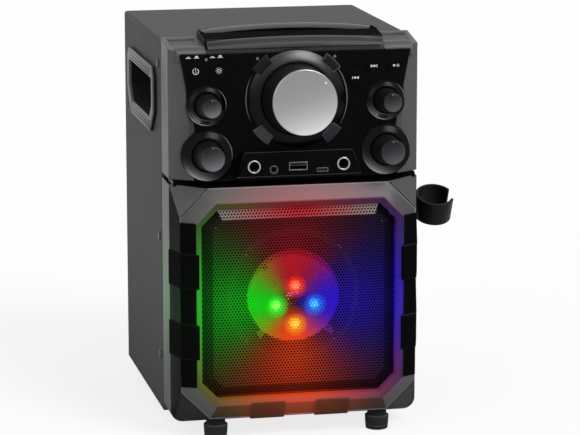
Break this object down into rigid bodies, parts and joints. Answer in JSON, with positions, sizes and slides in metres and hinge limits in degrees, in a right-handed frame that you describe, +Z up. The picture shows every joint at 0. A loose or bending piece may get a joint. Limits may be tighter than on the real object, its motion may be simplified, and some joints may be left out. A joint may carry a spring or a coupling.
{
  "type": "portable karaoke speaker",
  "caption": "Portable karaoke speaker: wooden case with hand cups, lit woofer behind an octagonal grille, knob and socket panel, tablet rest and microphone cup.",
  "frame": {"origin": "on the floor, midway between the four feet", "axes": "+Z up, +Y toward the rear panel, +X toward the microphone holder; the control panel faces -Y"},
  "size_m": [0.239, 0.2564, 0.3177],
  "materials": {
    "cabinet_wrap": "fine-grained black wrap on board",
    "rear_wrap": "black painted board",
    "dark_screw": "blackened steel",
    "black_mould": "matte black moulding",
    "foot_rubber": "black rubber",
    "grey_bezel": "satin dark grey moulding",
    "grip_rubber": "black soft grip",
    "grip_bottom": "satin grey-brown moulding",
    "grille_metal": "black perforated sheet",
    "basket_metal": "black pressed steel",
    "magnet_metal": "plain ferrite and plate",
    "surround_rubber": "black rubber roll",
    "cone_plastic": "pale translucent cone",
    "chrome_cap": "bright dome",
    "spider_cloth": "woven treated cloth",
    "red_light": "clear red, lit",
    "green_light": "clear green, lit",
    "blue_light": "clear blue, lit",
    "amber_light": "clear amber, lit",
    "gloss_black": "gloss black",
    "silver_cap": "spun satin silver",
    "smoked_cap": "smoked satin silver",
    "bright_steel": "plain steel",
    "circuit_board": "green laminate",
    "socket_nickel": "nickel plated",
    "battery_wrap": "blue shrink sleeve",
    "clear_lens": "clear lens, unlit"
  },
  "bodies": {
    "housing": {"cabinet": "cabinet_wrap", "rear_panel": "rear_wrap", "rear_screws": "dark_screw", "handle_cup_left": "black_mould", "handle_cup_right": "black_mould", "feet": "foot_rubber", "foot_screws": "dark_screw", "side_screws": "dark_screw", "lower_bezel": "grey_bezel", "grip_strip_left": "grip_rubber", "grip_strip_right": "grip_rubber", "grip_blocks_bottom": "grip_bottom", "grille": "grille_metal", "speaker_plate": "black_mould", "speaker_screws": "dark_screw", "woofer_basket": "basket_metal", "woofer_magnet": "magnet_metal", "woofer_surround": "surround_rubber", "woofer_spider": "spider_cloth", "light_carrier": "basket_metal", "light_red": "red_light", "light_green": "green_light", "light_blue": "blue_light", "light_amber": "amber_light", "upper_bezel": "grey_bezel", "faceplate": "gloss_black", "tablet_rest": "gloss_black", "brow": "grey_bezel", "master_ring": "black_mould", "potentiometers": "bright_steel", "button_switches": "black_mould", "panel_board": "circuit_board", "mic_socket_left": "socket_nickel", "mic_socket_right": "socket_nickel", "aux_socket": "gloss_black", "usb_socket": "socket_nickel", "charge_socket": "socket_nickel", "mic_holder": "gloss_black", "holder_screws": "dark_screw", "battery_pack": "battery_wrap", "indicator_lights": "clear_lens"},
    "master_volume": {"master_knob": "black_mould", "master_cap": "silver_cap", "master_shaft": "bright_steel"},
    "echo_control": {"echo_knob": "black_mould", "echo_cap": "smoked_cap"},
    "balance_control": {"balance_knob": "black_mould", "balance_cap": "smoked_cap"},
    "mic1_control": {"mic1_knob": "black_mould", "mic1_cap": "smoked_cap"},
    "mic2_control": {"mic2_knob": "black_mould", "mic2_cap": "smoked_cap"},
    "power_key": {"power_button": "gloss_black"},
    "lights_key": {"lights_button": "gloss_black"},
    "source_key": {"source_button": "gloss_black"},
    "previous_key": {"previous_button": "gloss_black"},
    "next_key": {"next_button": "gloss_black"},
    "play_key": {"play_button": "gloss_black"},
    "speaker_cone": {"woofer_cone": "cone_plastic", "dust_cap": "chrome_cap"}
  },
  "joints": [
    {"name": "master_turn", "type": "hinge", "parent": "housing", "child": "master_volume", "pos_m": [0, -0.1005, 0.26412], "axis": [0, -0.9986, 0.0523], "range_deg": [-105, 195]},
    {"name": "echo_turn", "type": "hinge", "parent": "housing", "child": "echo_control", "pos_m": [-0.07, -0.10067, 0.26092], "axis": [0, -0.9986, 0.0523], "range_deg": [-150, 150]},
    {"name": "balance_turn", "type": "hinge", "parent": "housing", "child": "balance_control", "pos_m": [0.07, -0.10067, 0.26092], "axis": [0, -0.9986, 0.0523], "range_deg": [-150, 150]},
    {"name": "mic1_turn", "type": "hinge", "parent": "housing", "child": "mic1_control", "pos_m": [-0.07, -0.10266, 0.22277], "axis": [0, -0.9986, 0.0523], "range_deg": [-150, 150]},
    {"name": "mic2_turn", "type": "hinge", "parent": "housing", "child": "mic2_control", "pos_m": [0.07, -0.10266, 0.22277], "axis": [0, -0.9986, 0.0523], "range_deg": [-150, 150]},
    {"name": "power_press", "type": "slide", "parent": "housing", "child": "power_key", "axis": [0, 0.9986, -0.0523], "range_m": [0, 0.0014]},
    {"name": "lights_press", "type": "slide", "parent": "housing", "child": "lights_key", "axis": [0, 0.9986, -0.0523], "range_m": [0, 0.0014]},
    {"name": "source_press", "type": "slide", "parent": "housing", "child": "source_key", "axis": [0, 0.9986, -0.0523], "range_m": [0, 0.001], "stiffness_N_per_m": 300, "springref_m": -0.001},
    {"name": "previous_press", "type": "slide", "parent": "housing", "child": "previous_key", "axis": [0, 0.9986, -0.0523], "range_m": [0, 0.001], "stiffness_N_per_m": 300, "springref_m": -0.001},
    {"name": "next_press", "type": "slide", "parent": "housing", "child": "next_key", "axis": [0, 0.9986, -0.0523], "range_m": [0, 0.001], "stiffness_N_per_m": 300, "springref_m": -0.001},
    {"name": "play_press", "type": "slide", "parent": "housing", "child": "play_key", "axis": [0, 0.9986, -0.0523], "range_m": [0, 0.001], "stiffness_N_per_m": 300, "springref_m": -0.001},
    {"name": "cone_stroke", "type": "slide", "parent": "housing", "child": "speaker_cone", "axis": [0, -1, 0], "range_m": [-0.0025, 0.0025], "stiffness_N_per_m": 500, "deforming": ["woofer_surround", "woofer_spider"]}
  ]
}
